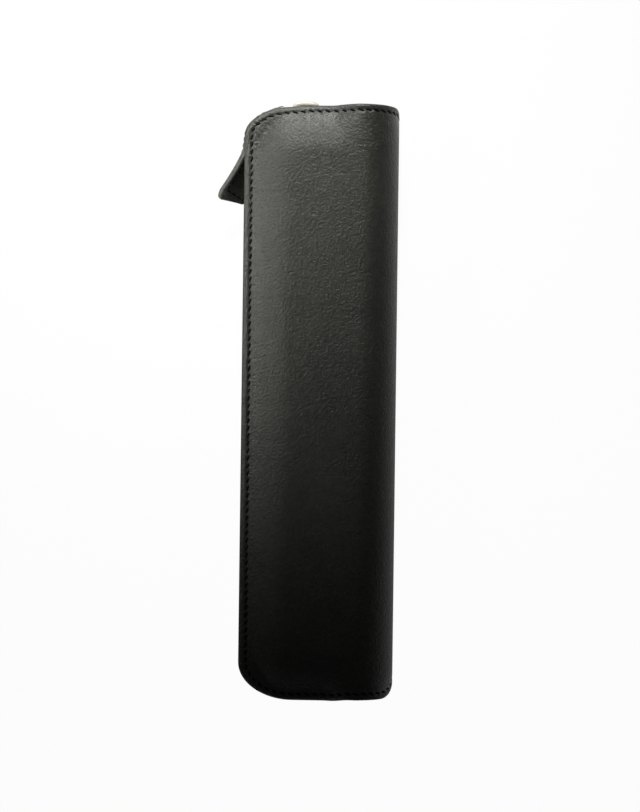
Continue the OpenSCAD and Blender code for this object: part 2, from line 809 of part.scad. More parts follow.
// One strip of leather folded round the ring's far bar and glued to itself
module pull_tab() {
    color([0.07, 0.07, 0.065])
        difference() {
            union() {
                tab_sweep();
                translate([tab_bar[0], tab_bar[1], mid_z - tab_root_w / 2])
                    cylinder(d = fold_d, h = tab_root_w, $fn = 32);
            }
            translate([tab_bar[0], tab_bar[1], mid_z - tab_root_w])
                cylinder(d = wire_d + 0.1, h = 2 * tab_root_w, $fn = 32);
        }
}

// The tab's seam, on both faces near its long edges
module pull_tab_stitching() {
    margin = 1.1;
    color([0.02, 0.02, 0.02])
        for (i = [2:len(tab_line) - 2], side = [-1, 1], face = [-1, 1]) {
            v = face * (tab_t(i) / 2 + 0.14);
            a = tab_at(i, side * (tab_w(i) / 2 - margin), v);
            b = tab_at(i + 1, side * (tab_w(i + 1) / 2 - margin), v);
            short_thread(a + (b - a) * 0.15, a + (b - a) * 0.8);
        }
}

// A thin square thread between two points
module short_thread(p, q) {
    d = q - p;
    translate(p)
        rotate([0, acos(d[2] / norm(d)), atan2(d[1], d[0])])
            translate([-0.05, -0.05, 0])
                cube([0.1, 0.1, norm(d)]);
}

back_cover();
back_padding();
back_lining();
back_tape();
back_teeth();
back_top_stop();
bottom_stop();
back_zip_ends();
back_stitching();
pen_loop();
pen_loop_stitching();
spine_cover();
spine_padding();
spine_lining();
spine_stitching();
front_cover();
front_padding();
front_lining();
front_tape();
front_teeth();
front_top_stop();
front_zip_ends();
front_stitching();
slider_body();
slider_crown();
pull_ring();
pull_tab();
pull_tab_stitching();
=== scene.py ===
"""Looks of a black leather case for one pen, closed by a zip round three sides.

It lies on its back cover: +Z is up, +Y points to the slider's end and +X to the
rounded spine. Shapes are worked out in millimetres and made in metres.
"""

import math

import bmesh
import bpy
import numpy as np
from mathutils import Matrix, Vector


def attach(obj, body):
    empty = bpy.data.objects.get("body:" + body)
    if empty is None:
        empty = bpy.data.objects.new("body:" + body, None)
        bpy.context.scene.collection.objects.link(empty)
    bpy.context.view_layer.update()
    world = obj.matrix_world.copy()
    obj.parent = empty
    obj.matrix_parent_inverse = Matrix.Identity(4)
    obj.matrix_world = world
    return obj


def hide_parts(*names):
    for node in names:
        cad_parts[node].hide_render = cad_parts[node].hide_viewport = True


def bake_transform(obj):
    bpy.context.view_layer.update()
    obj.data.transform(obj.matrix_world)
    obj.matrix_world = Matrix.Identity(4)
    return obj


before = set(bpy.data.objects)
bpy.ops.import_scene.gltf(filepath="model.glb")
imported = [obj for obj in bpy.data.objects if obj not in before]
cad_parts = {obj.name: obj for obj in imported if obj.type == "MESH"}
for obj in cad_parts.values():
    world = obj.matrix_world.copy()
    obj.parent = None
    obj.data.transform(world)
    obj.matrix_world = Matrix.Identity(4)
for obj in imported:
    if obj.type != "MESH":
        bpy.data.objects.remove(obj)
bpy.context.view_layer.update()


MM = 0.001

# Sizes of the case, as in the part's source, except for END_STEP_X, which lies 3 mm
# nearer to the spine, and for the seam, whose inset and pitch change along it
CASE_LEN, CASE_W, CASE_T, BORDER_T = 165.0, 43.4, 22.0, 15.5
BORDER_W, RISE_W, RISE_POWER = 2.6, 11.0, 1.8
TOP_CORNER, END_CORNER, ZIP_CORNER = (14.0, 8.0), (15.0, 10.5), (12.0, 8.5)
TOP_SHORT, END_LONG = 0.4, 0.8
SPINE_TOP_R, SPINE_END_R = 1.2, 3.3
COVER, PADDING, LINING = 1.4, 0.8, 0.8
HALF, LEFT, MID = CASE_LEN / 2, -CASE_W / 2, CASE_T / 2
TOP_END, FAR_END = HALF - TOP_SHORT, HALF + END_LONG
SPINE_R = CASE_T / 2
SPINE_X = CASE_W / 2 - SPINE_R
SPINE_Q = SPINE_X + SPINE_R * math.pi / 2
BORDER_H = BORDER_T / 2
DIP_X, TAPE_END_X, WEB_END_X = SPINE_X - 9, SPINE_X - 7, SPINE_X + 3.3
TOP_STEP_X, END_STEP_X, STEP_W = SPINE_X - 19, SPINE_X - 7, 6.0
TAPE_INSET, TAPE_THK, TAPE_REACH, TAPE_EDGE = 2.5, 0.5, 5.0, 1.4
LINING_BORDER_H = BORDER_H - COVER - TAPE_THK
LINING_INSET, LINING_FROM = 3.75, 6.1
LINING_RISE = BORDER_W + RISE_W - LINING_FROM
LINING_DEPTH = COVER + PADDING
FLOOR_Z = LINING_DEPTH + LINING
SEAM_SIDE, SEAM_END = 2.1, 1.75
PITCH_SIDE, PITCH_END = 2.08, 2.27
# For each side: the seed of its unevenness and how far its zip side sags
LOOKS = {"front": (3, 0.6), "back": (8, 0.12)}


# Finishes
class Value:
    """A value in a node tree. Arithmetic on it adds the Math node that does it."""

    def __init__(self, nodes, socket):
        self.nodes = nodes
        self.socket = socket

    def __add__(self, other):
        return self.nodes.math("ADD", self, other)

    __radd__ = __add__

    def __sub__(self, other):
        return self.nodes.math("SUBTRACT", self, other)

    def __rsub__(self, other):
        return self.nodes.math("SUBTRACT", other, self)

    def __mul__(self, other):
        return self.nodes.math("MULTIPLY", self, other)

    __rmul__ = __mul__

    def __truediv__(self, other):
        return self.nodes.math("DIVIDE", self, other)

    def __rpow__(self, other):
        return self.nodes.math("POWER", other, self)

    def __neg__(self):
        return self.nodes.math("SUBTRACT", 0.0, self)


class Nodes:
    """A node tree and the one method that adds a node to it"""

    def __init__(self, tree):
        self.tree = tree

    def put(self, socket, value):
        """Link a Value to the socket, or set a plain number or colour on it"""
        if isinstance(value, Value):
            self.tree.links.new(value.socket, socket)
        else:
            socket.default_value = value

    def node(self, kind, settings=None, values=None, out=0):
        made = self.tree.nodes.new(kind)
        for key, setting in (settings or {}).items():
            setattr(made, key, setting)
        for key, value in (values or {}).items():
            self.put(made.inputs[key], value)
        return Value(self, made.outputs[out])

    def math(self, operation, *values):
        return self.node("ShaderNodeMath", {"operation": operation}, dict(enumerate(values)))


class Finish(Nodes):
    """A material, its shader and the nodes that lead to it"""

    def __init__(self, name):
        self.material = bpy.data.materials.new(name)
        self.material.use_nodes = True
        super().__init__(self.material.node_tree)
        self.tree.nodes.clear()
        self.out = self.tree.nodes.new("ShaderNodeOutputMaterial")
        self.shader = self.tree.nodes.new("ShaderNodeBsdfPrincipled")
        self.tree.links.new(self.shader.outputs[0], self.out.inputs[0])

    def feed(self, name, value):
        self.put(self.shader.inputs[name], value)

    def place(self):
        return self.node("ShaderNodeTexCoord", out="Object")

    def axes(self):
        split = self.node("ShaderNodeSeparateXYZ", None, {0: self.place()})
        return [Value(self, socket) for socket in split.socket.node.outputs]

    def noise(self, size_mm, detail=3.0, roughness=0.55):
        return self.node("ShaderNodeTexNoise", None, {
            "Vector": self.place(), "Scale": 1.0 / (size_mm * MM),
            "Detail": detail, "Roughness": roughness})

    def cells(self, size_mm):
        return self.node("ShaderNodeTexVoronoi", None, {
            "Vector": self.place(), "Scale": 1.0 / (size_mm * MM)}, out="Distance")

    def along(self, name):
        return self.node("ShaderNodeAttribute", {"attribute_name": name}, out="Fac")

    def bell(self, value, width):
        """1 where value is 0, falling away smoothly over about width"""
        near = value / width
        return 2.718 ** -(near * near)

    def wave(self, value, period):
        return self.math("SINE", value * (2 * math.pi / period))

    def mix(self, amount, first, second):
        """From the first colour to the second as amount goes from 0 to 1"""
        return self.node("ShaderNodeMix", {"data_type": "RGBA"},
                         {"Factor": amount, 6: first, 7: second}, out=2)

    def bump(self, height_mm):
        """Relief from a height in millimetres"""
        self.feed("Normal", self.node("ShaderNodeBump", None, {
            "Strength": 1.0, "Distance": MM, "Height": height_mm}, out="Normal"))

    def clamp(self, value):
        return self.math("MINIMUM", self.math("MAXIMUM", value, 0.0), 1.0)


def rgb(r, g, b):
    return (r, g, b, 1.0)


def grey(level):
    return rgb(level, level, level)


def leather(name, sewn=True, base=0.026):
    """Smooth black calf with a fine grain and a satin top. Where it is sewn, it also has
    a painted edge and a slit at each stitch, whose colour is darkened as painted shade."""
    f = Finish(name)
    grain = f.cells(0.75)
    creases = f.noise(0.6, 4.0, 0.62)
    mottle = f.noise(1.6)
    broad = f.noise(14.0, 2.0)
    relief = grain * 0.1 + creases * 0.22 + mottle * 0.08
    tone = f.clamp(mottle * 0.5 + creases * 0.7 + broad * 0.4 - 0.3)
    colour = f.mix(tone, rgb(base * 0.2, base * 0.2, base * 0.18),
                   rgb(base * 2.1, base * 2.1, base * 1.95))
    roughness = 0.45 + (creases - 0.5) * 0.4 + (broad - 0.5) * 0.06
    if sewn:
        edge = f.along("edge")
        run = f.along("run")
        # the needle goes in at a slant, so each stitch lies in a slanted slit
        seam = f.along("seam") + (f.math("FRACT", run) - 0.5) * 0.8
        slit_and_shade = f.bell(seam, 0.36) * f.clamp(0.5 - 1.2 * f.wave(run + 0.25, 1.0))
        relief = relief - slit_and_shade * 0.1
        paint = f.bell(edge, 0.24)
        # hide that is stretched along the seam is a little shinier
        roughness = roughness - f.bell(edge - 2.5, 3.2) * 0.13
        # the edge paint is the leather's own black; the darkening in the slits is painted shade
        colour = f.mix(f.clamp(slit_and_shade * 1.2 + paint), colour, grey(0.001))
        roughness = roughness + paint * 0.3 + slit_and_shade * 0.4
    f.feed("Base Color", colour)
    f.feed("Roughness", f.clamp(roughness))
    f.feed("Specular IOR Level", 0.5)
    f.bump(relief)
    return f.material


def thread(name):
    """Matt black thread with a fine twist"""
    f = Finish(name)
    twist = f.noise(0.22, 2.0)
    f.feed("Base Color", f.mix(twist, grey(0.001), grey(0.004)))
    f.feed("Roughness", 0.75 + twist * 0.2)
    f.feed("Specular IOR Level", 0.12)
    f.bump(twist * 0.05)
    return f.material


def woven(name, period, dark, light, rough=0.8, ribs=None):
    """Cloth of crossing yarns; ribs names attributes that the yarns follow"""
    f = Finish(name)
    if ribs:
        first, second = f.along(ribs[0]), f.along(ribs[1])
    else:
        x, y, z = f.axes()
        first, second = (x + z) * 1000.0, (y - z) * 1000.0
    warp = f.wave(first + second * 0.5, period)
    weft = f.wave(second, period * 0.8)
    yarn = f.clamp(0.5 + 0.25 * (warp + weft))
    fuzz = f.noise(0.3)
    f.feed("Base Color", f.mix(f.clamp(yarn * 0.7 + fuzz * 0.4), dark, light))
    f.feed("Roughness", rough + (fuzz - 0.5) * 0.2)
    f.bump(yarn * 0.07 + fuzz * 0.03)
    return f.material


def nickel(name, tint, rough):
    """Plated metal, a little browner and duller where it is worn"""
    f = Finish(name)
    wear = f.noise(0.9, 4.0, 0.7)
    fine = f.noise(0.12, 2.0)
    worn = rgb(tint[0] * 0.72, tint[1] * 0.7, tint[2] * 0.66)
    f.feed("Metallic", 1.0)
    f.feed("Base Color", f.mix(f.clamp(wear * 1.4 - 0.35), tint, worn))
    f.feed("Roughness", f.clamp(rough + (wear - 0.5) * 0.22))
    f.bump(fine * 0.004 + wear * 0.006)
    return f.material


def board(name):
    """Grey-brown fibre board"""
    f = Finish(name)
    fibre = f.noise(0.8, 5.0, 0.7)
    f.feed("Base Color", f.mix(fibre, rgb(0.30, 0.27, 0.23), rgb(0.46, 0.42, 0.36)))
    f.feed("Roughness", 0.85 + (fibre - 0.5) * 0.1)
    f.bump(fibre * 0.05)
    return f.material


def elastic(name):
    """Black elastic with ribs across its length"""
    f = Finish(name)
    rib = f.wave(f.axes()[1], 1.1 * MM)
    fuzz = f.noise(0.25)
    tone = f.clamp(0.5 + rib * 0.35 + (fuzz - 0.5) * 0.4)
    f.feed("Base Color", f.mix(tone, grey(0.008), grey(0.028)))
    f.feed("Roughness", 0.8 + (fuzz - 0.5) * 0.2)
    f.bump(rib * 0.08 + fuzz * 0.04)
    return f.material


LEATHER = leather("sewn_leather")
TRIM = leather("trim_leather", sewn=False)
# The tab is the same black leather, made paler here as painted light on its shaded face
TAB_LEATHER_PAINTED_LIGHT = leather("tab_leather", sewn=False, base=0.042)
THREAD = thread("black_thread")
TAPE = woven("zip_tape", 0.62, grey(0.006), grey(0.03), ribs=("run", "rise"))
CLOTH = woven("lining_cloth", 0.5, rgb(0.008, 0.008, 0.009), rgb(0.035, 0.035, 0.036), 0.7)
ELASTIC = elastic("loop_elastic")
BOARD = board("stiffener_board")
NICKEL = nickel("warm_nickel", rgb(0.38, 0.365, 0.325), 0.48)
TEETH = nickel("zip_metal", rgb(0.46, 0.44, 0.39), 0.34)


# Meshes
def in_scene(name, data):
    """A new object that shows the data"""
    made = bpy.data.objects.new(name, data)
    bpy.context.scene.collection.objects.link(made)
    return made


def mesh_object(name, points, faces, material, facts=None, sharp=None):
    """A smooth-shaded object from points in millimetres. Facts are numbers kept on the
    points, and an edge that turns by more than sharp degrees isn't smoothed."""
    mesh = bpy.data.meshes.new(name)
    mesh.from_pydata([tuple(p) for p in np.asarray(points) * MM], [], faces)
    for key, values in (facts or {}).items():
        attribute = mesh.attributes.new(key, "FLOAT", "POINT")
        attribute.data.foreach_set("value", np.asarray(values, np.float32).ravel())
    mesh.shade_smooth()
    if sharp:
        mesh.set_sharp_from_angle(angle=math.radians(sharp))
    mesh.materials.append(material)
    return in_scene(name, mesh)


def applied(obj):
    """The object with its modifiers turned into plain mesh"""
    bpy.context.view_layer.update()
    evaluated = obj.evaluated_get(bpy.context.evaluated_depsgraph_get())
    mesh = bpy.data.meshes.new_from_object(evaluated)
    obj.modifiers.clear()
    obj.data = mesh
    return obj


def slab(outer, inner):
    """Points and faces of a closed sheet between two grids of points"""
    cols, rows = outer.shape[:2]
    n = cols * rows
    at = np.arange(2 * n).reshape(2, cols, rows)
    a, b = at[0], at[1]
    quads = [
        np.stack([a[:-1, :-1], a[1:, :-1], a[1:, 1:], a[:-1, 1:]], -1).reshape(-1, 4),
        np.stack([b[:-1, :-1], b[:-1, 1:], b[1:, 1:], b[1:, :-1]], -1).reshape(-1, 4),
        np.stack([a[:-1, 0], b[:-1, 0], b[1:, 0], a[1:, 0]], -1),
        np.stack([a[:-1, -1], a[1:, -1], b[1:, -1], b[:-1, -1]], -1),
        np.stack([a[0, :-1], a[0, 1:], b[0, 1:], b[0, :-1]], -1),
        np.stack([a[-1, :-1], b[-1, :-1], b[-1, 1:], a[-1, 1:]], -1),
    ]
    points = np.concatenate([outer.reshape(-1, 3), inner.reshape(-1, 3)])
    return points, [tuple(int(v) for v in q) for q in np.concatenate(quads)]


def tube_faces(rings, around, closed):
    """Faces between rings of points; a closed tube joins its last ring to its first"""
    return [(i * around + j, i * around + (j + 1) % around,
             (i + 1) % rings * around + (j + 1) % around, (i + 1) % rings * around + j)
            for i in range(rings if closed else rings - 1) for j in range(around)]


def mirrored(points):
    """The same points on the other side of the zip's middle plane"""
    return points * [1, 1, -1] + [0, 0, CASE_T]


def other_half(points, faces):
    """The same sheet on the other side, with its faces turned outwards again"""
    return mirrored(points), [f[::-1] for f in faces]


def unit(v):
    return v / np.maximum(np.linalg.norm(v, axis=-1, keepdims=True), 1e-12)


def length_along(line):
    """Distance from the line's start to each of its points"""
    return np.concatenate([[0], np.cumsum(np.linalg.norm(np.diff(line, axis=0), axis=1))])


def at_marks(marks, run, table):
    """The table's rows, which belong to the distances in run, read off at the marks"""
    return np.stack([np.interp(marks, run, column) for column in table.T], 1)


# Shape of the leather
def smooth(t):
    s = np.clip(t, 0.0, 1.0)
    return s * s * (3 - 2 * s)


def reach(x, inset, corner):
    w, h = corner
    u = np.clip((LEFT + w - x) / (w - inset), 0.0, 1.0)
    return HALF - inset - (h - inset) * (1 - np.sqrt(1 - u * u))


def step_in(x, from_x):
    """1 on a border and 0 at the spine, whose end lies a little off its line"""
    return 1 - smooth((x - from_x) / STEP_W)


def top_reach(x, inset=0.0):
    return reach(x, inset, TOP_CORNER) - TOP_SHORT * step_in(x, TOP_STEP_X)


def end_reach(x, inset=0.0):
    return -reach(x, inset, END_CORNER) - END_LONG * step_in(x, END_STEP_X)


def limits(q):
    """How far the leather reaches along Y at the unrolled width q: low end, top"""
    q = np.asarray(q, float)
    a = np.clip((q - SPINE_X) / SPINE_R, 0.0, math.pi / 2)
    x = SPINE_X + SPINE_R * np.sin(a)

    def rounding(radius):
        u = np.clip(x - CASE_W / 2 + radius, 0.0, radius)
        return radius - np.sqrt(radius * radius - u * u)

    return end_reach(q) + rounding(SPINE_END_R), top_reach(q) - rounding(SPINE_TOP_R)


def short_of(distance, start, width):
    """1 where the rise starts and 0 at full height, with a soft start"""
    short = 1 - (distance - start) / width
    short = short - 0.05 * np.log1p(np.exp((short - 1) / 0.05))
    return np.maximum(0.0, short)


def fullness(x, y, start, width, fade_x):
    """0 on the border, 1 at full height; the dip at the ends fades at the spine"""
    side = short_of(x - LEFT, start, width)
    top = short_of(top_reach(x) - y, start, width)
    end = short_of(y - end_reach(x), start, width)
    fade = 1 - smooth((x - fade_x) / (SPINE_X - fade_x))
    around = np.minimum(1, np.hypot(side, np.maximum(top, end)))
    return 1 - (1 - fade) * side ** RISE_POWER - fade * around ** RISE_POWER


def cover_height(x, y):
    return BORDER_H + (SPINE_R - BORDER_H) * fullness(x, y, BORDER_W, RISE_W, DIP_X)


def lining_height(x, y):
    rise = SPINE_R - LINING_DEPTH - LINING_BORDER_H
    return LINING_BORDER_H + rise * fullness(x, y, LINING_FROM, LINING_RISE, TAPE_END_X)


def edge_distance(q, y):
    """How far a point lies in from the leather's outline"""
    low, top = limits(q)
    # the spine has no edge along its length, so there the sides don't count
    side_edge = np.where(q < SPINE_X, q - LEFT, np.inf)
    d = np.minimum(np.minimum(top - y, y - low), side_edge)
    for side, (w, h), end in ((1, TOP_CORNER, TOP_END), (-1, END_CORNER, FAR_END)):
        u, v = (LEFT + w - q) / w, (side * y - (end - h)) / h
        f = np.sqrt(u * u + v * v)
        slope = np.sqrt((u / w) ** 2 + (v / h) ** 2) / np.maximum(f, 1e-9)
        d = np.where((u > 0) & (v > 0), (1 - f) / np.maximum(slope, 1e-9), d)
    return np.maximum(d, 0.0)


def outline_path():
    """The outline as unrolled points, from the spine's middle at the top end round
    the zip side to the spine's middle at the far end, with inward directions"""
    top_q = np.arange(SPINE_Q, LEFT + TOP_CORNER[0], -0.25)
    points = [np.stack([top_q, limits(top_q)[1]], 1)]
    for (w, h), side, end, start in ((TOP_CORNER, 1, TOP_END, 90),
                                     (END_CORNER, -1, FAR_END, 180)):
        a = np.radians(np.linspace(start, start + 90, 90))
        points.append(np.stack([LEFT + w + w * np.cos(a),
                                side * (end - h) + h * np.sin(a)], 1))
        if side > 0:
            ys = np.arange(end - h - 0.5, -FAR_END + END_CORNER[1], -0.5)
            points.append(np.stack([np.full_like(ys, LEFT), ys], 1))
    end_q = np.arange(LEFT + END_CORNER[0] + 0.25, SPINE_Q, 0.25)
    points.append(np.stack([end_q, limits(end_q)[0]], 1))
    path = np.concatenate(points)
    step = np.gradient(path, axis=0)
    step /= np.linalg.norm(step, axis=1)[:, None]
    inward = np.stack([-step[:, 1], step[:, 0]], 1)
    return path, inward


OUTLINE, INWARD = outline_path()
# The seam's inset and pitch change over the corners, within this far of the long side
CHANGE_FROM, CHANGE_OVER = 9.0, 8.0
ON_SIDE = smooth((LEFT + CHANGE_FROM - OUTLINE[:, 0]) / CHANGE_OVER)
SEAM_IN = SEAM_END + (SEAM_SIDE - SEAM_END) * ON_SIDE
SEAM = OUTLINE + INWARD * SEAM_IN[:, None]
STEPS = np.linalg.norm(np.diff(SEAM, axis=0), axis=1)
PITCH = PITCH_END + (PITCH_SIDE - PITCH_END) * ON_SIDE
RUN = np.concatenate([[0.0], np.cumsum(STEPS / PITCH[1:])])


# The distance given to points away from the seam, and how far in from the edge the
# seam is looked for
OFF_SEAM, SEAM_REACH = 9.0, 8.0


def seam_facts(q, y):
    """For points of the leather: distance from the edge and from the seam, and the
    number of stitches passed along it"""
    shape = np.shape(q)
    flat = np.stack([np.ravel(q), np.ravel(y)], 1)
    edge = edge_distance(flat[:, 0], flat[:, 1])
    seam = np.full(len(flat), OFF_SEAM)
    run = np.zeros(len(flat))
    near = np.flatnonzero(edge < SEAM_REACH)
    for chunk in np.array_split(near, max(1, len(near) // 2000)):
        gap = np.linalg.norm(flat[chunk][:, None] - OUTLINE[None], axis=2)
        k = gap.argmin(axis=1)
        seam[chunk] = edge[chunk] - SEAM_IN[k]
        run[chunk] = RUN[k]
    return edge.reshape(shape), seam.reshape(shape), run.reshape(shape)


def ripple(x, y, seed):
    """Slow unevenness of hide over its stiffener, about one unit high: a sum of waves of
    random length, direction and start"""
    waves, shortest, longest = 14, 16.0, 66.0
    rng = np.random.default_rng(seed)
    total = np.zeros(np.shape(x))
    for _ in range(waves):
        length = shortest + (longest - shortest) * rng.random()
        turn = rng.random() * math.pi
        total += np.sin((x * math.cos(turn) + y * math.sin(turn)) * 2 * math.pi / length
                        + rng.random() * 6.28) * length / 60.0
    return total / 5.0


def sag(q, side):
    """How far the whole leather sinks towards the zip side"""
    return LOOKS[side][1] * np.clip((q - 8.0) / -22.0, 0, 1) ** 2


def hump(value, width):
    """1 where value is 0, falling away smoothly over about width"""
    return np.exp(-(value / width) ** 2)


# The outer edge rolls over, the seam pulls a groove and the border tilts down outwards
ROLL_R, ROLL_DEPTH, ROLL_LOST_AT_SPINE = 0.75, 0.7, 0.6
GROOVE_DEPTH, GROOVE_W = 0.13, 0.55
TILT_DEPTH, TILT_W = 0.36, 1.5
# The leather is drawn in at one place of the top seam, near the spine
PUCKER_DEPTH, PUCKER_Q, PUCKER_LEN, PUCKER_IN, PUCKER_W = 0.3, 6.4, 3.2, 2.2, 1.5
# Small pleats fan out in the top corner, about a direction in radians
PLEAT_DEPTH, PLEATS, PLEAT_TURN, PLEAT_SPAN = 0.14, 22.0, 0.75, 0.42
PLEAT_IN, PLEAT_W, PLEAT_ZONE = 4.6, 1.7, 16
UNEVEN_DEPTH, UNEVEN_FROM, UNEVEN_OVER = 0.07, 3.0, 8.0
# Width over which a form fades near the spine's start
SPINE_FADE = 6.0


def leather_relief(q, y, edge, seam, side):
    """How far the outer face lies under its plain shape"""
    near = np.clip(ROLL_R - edge, 0.0, ROLL_R)
    roll = ROLL_DEPTH * (ROLL_R - np.sqrt(ROLL_R ** 2 - near ** 2))
    roll *= 1 - ROLL_LOST_AT_SPINE * smooth((q - SPINE_X - 2.0) / SPINE_FADE)
    groove = GROOVE_DEPTH * hump(seam, GROOVE_W)
    tilt = TILT_DEPTH * smooth((TILT_W - edge) / TILT_W) * smooth((SPINE_X - q) / SPINE_FADE)
    pucker = PUCKER_DEPTH * hump(q - PUCKER_Q, PUCKER_LEN) * hump(edge - PUCKER_IN, PUCKER_W)
    pucker *= y > 0
    turn = np.arctan2(y - (TOP_END - TOP_CORNER[1]), -(q - (LEFT + TOP_CORNER[0])))
    at_corner = hump(turn - PLEAT_TURN, PLEAT_SPAN) * hump(edge - PLEAT_IN, PLEAT_W)
    at_corner *= (q < LEFT + PLEAT_ZONE) & (y > HALF - PLEAT_ZONE)
    pleats = PLEAT_DEPTH * at_corner * np.sin(turn * PLEATS)
    uneven = UNEVEN_DEPTH * ripple(q, y, LOOKS[side][0])
    uneven *= smooth((edge - UNEVEN_FROM) / UNEVEN_OVER)
    uneven *= 1 - 0.8 * smooth((q - SPINE_X) / SPINE_FADE)
    return roll + groove + tilt + pucker + pleats + uneven + sag(q, side)


def skin(q, y, depth):
    """Points depth under the front leather's plain outer face"""
    a = np.clip((q - SPINE_X) / SPINE_R, 0.0, math.pi / 2)
    flat = q <= SPINE_X
    x = np.where(flat, q, SPINE_X + (SPINE_R - depth) * np.sin(a))
    z = np.where(flat, MID + cover_height(q, y) - depth,
                 MID + (SPINE_R - depth) * np.cos(a))
    return np.stack([x, y + 0 * x, z], -1)


def spaced(*runs):
    """Distances that grow from 0 by runs of (step, up to)"""
    values = [0.0]
    for step, limit in runs:
        while values[-1] < limit - 1e-6:
            values.append(values[-1] + step)
    return np.array(values)


def leather_grid():
    """Unrolled places of the leather's points, closer together at its edges"""
    from_edge = spaced((0.04, 0.12), (0.1, 0.62), (0.2, 3.6), (0.5, 12.0))
    cols = np.concatenate([
        LEFT + from_edge,
        np.linspace(LEFT + 13.0, SPINE_X, 20),
        SPINE_X + SPINE_R * np.radians(np.arange(3, 91, 3)),
    ])
    low, top = limits(cols)
    middle = np.linspace(0.0, 1.0, 132)[1:-1]
    span = 14.0
    steps = np.concatenate([from_edge, [12.8, 13.4]])
    rows = np.concatenate([
        low[:, None] + steps[None],
        low[:, None] + span + middle[None] * (top - low - 2 * span)[:, None],
        top[:, None] - steps[::-1][None],
    ], axis=1)
    return np.repeat(cols[:, None], rows.shape[1], 1), rows


# Radius of the inner face's edge, and how near to the table the leather is pressed flat
INNER_R, PRESSED = 0.5, 0.02
# The inner face counts as this far from the edge, so that its finish is the edge's paint
INNER_EDGE = 0.2


def leather_sheet(side):
    """Points, faces and facts of one side's leather, as it lies on the front"""
    q, y = leather_grid()
    edge, seam, run = seam_facts(q, y)
    down = leather_relief(q, y, edge, seam, side)
    if side == "back":
        # the resting face lies flat on the table
        high = MID + np.where(q <= SPINE_X, cover_height(q, y),
                              SPINE_R * np.cos(np.clip((q - SPINE_X) / SPINE_R, 0, 2)))
        down = np.maximum(down, PRESSED * (high > CASE_T - PRESSED))
    near = np.clip(INNER_R - edge, 0.0, INNER_R)
    under = INNER_R - np.sqrt(INNER_R ** 2 - near ** 2)
    outer, inner = skin(q, y, down), skin(q, y, COVER + sag(q, side) - under)
    points, faces = slab(outer, inner)
    facts = {"edge": np.concatenate([edge.ravel(), np.full(edge.size, INNER_EDGE)]),
             "seam": np.concatenate([seam.ravel(), np.full(seam.size, OFF_SEAM)]),
             "run": np.concatenate([run.ravel(), run.ravel()])}
    return points, faces, facts


def bend_over_fold(piece, side):
    """Bakes the piece's placing into its points, the same way for the front and the back"""
    if side == "front":
        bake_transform(piece)
    else:
        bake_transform(piece)


def make_leather():
    for side in ("front", "back"):
        points, faces, facts = leather_sheet(side)
        if side == "back":
            points, faces = other_half(points, faces)
        piece = mesh_object("leather_" + side, points, faces, LEATHER, facts, sharp=70)
        bend_over_fold(piece, side)
        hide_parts(side + "_cover", "spine_cover")


# Lining
def lining_grid():
    """Unrolled places of the lining's points, closer together at its edges"""
    steps = spaced((0.25, 1.5), (0.6, 14.0))
    cols = np.concatenate([LEFT + LINING_INSET + steps,
                           np.linspace(LEFT + LINING_INSET + 15.5, SPINE_X, 10),
                           SPINE_X + SPINE_R * np.radians(np.arange(5, 91, 5))])
    low, top = end_reach(cols, LINING_INSET), top_reach(cols, LINING_INSET)
    middle = np.linspace(0, 1, 42)[1:-1]
    rows = np.concatenate([low[:, None] + steps[None],
                           low[:, None] + 15 + middle[None] * (top - low - 30)[:, None],
                           top[:, None] - steps[::-1][None]], axis=1)
    return np.repeat(cols[:, None], rows.shape[1], 1), rows


def lining_face(q, y, depth):
    """Points depth under the lining's outer face"""
    a = np.clip((q - SPINE_X) / SPINE_R, 0.0, math.pi / 2)
    r = SPINE_R - LINING_DEPTH - depth
    flat = q <= SPINE_X
    x = np.where(flat, q, SPINE_X + r * np.sin(a))
    z = np.where(flat, MID + lining_height(q, y) - depth, MID + r * np.cos(a))
    return np.stack([x, y, z], -1)


def make_lining():
    clear, puff, seed = 0.02, 0.05, 21
    q, y = lining_grid()
    inner = lining_face(q, y, LINING)
    inner[..., 2] += puff * ripple(q, y, seed)
    points, faces = slab(lining_face(q, y, clear), inner)
    for side in ("front", "back"):
        if side == "back":
            points, faces = other_half(points, faces)
        piece = mesh_object("lining_" + side, points, faces, CLOTH, sharp=70)
        bend_over_fold(piece, side)
        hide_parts(side + "_lining", "spine_lining")


